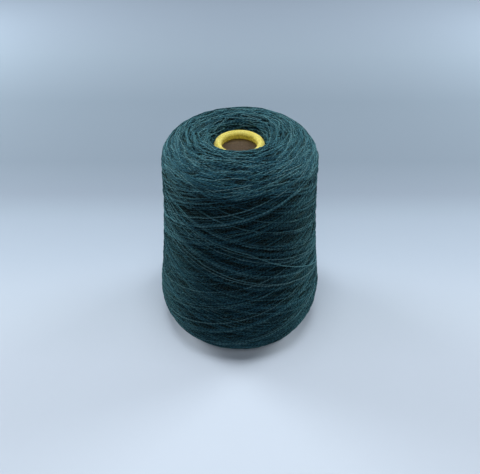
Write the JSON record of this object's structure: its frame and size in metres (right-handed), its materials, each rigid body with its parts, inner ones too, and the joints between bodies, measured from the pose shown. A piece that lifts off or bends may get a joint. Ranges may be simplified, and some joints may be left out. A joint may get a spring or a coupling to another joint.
{
  "type": "cone of knitting yarn",
  "caption": "Dark green yarn cross-wound on a conical paper tube, with rounded shoulders and a yellow rolled nose sunk in a dish on top.",
  "frame": {"origin": "centre of the paper cone's base edge, on the surface the object stands on", "axes": "+Z along the cone's axis, from its base to its nose"},
  "size_m": [0.1378, 0.1378, 0.1777],
  "materials": {
    "brown_board": "matte",
    "yellow_nose": "matte",
    "green_yarn": "matte"
  },
  "bodies": {
    "root": {"paper_cone": "brown_board", "nose_roll": "yellow_nose", "yarn_package": "green_yarn", "running_end": "green_yarn"}
  },
  "joints": []
}
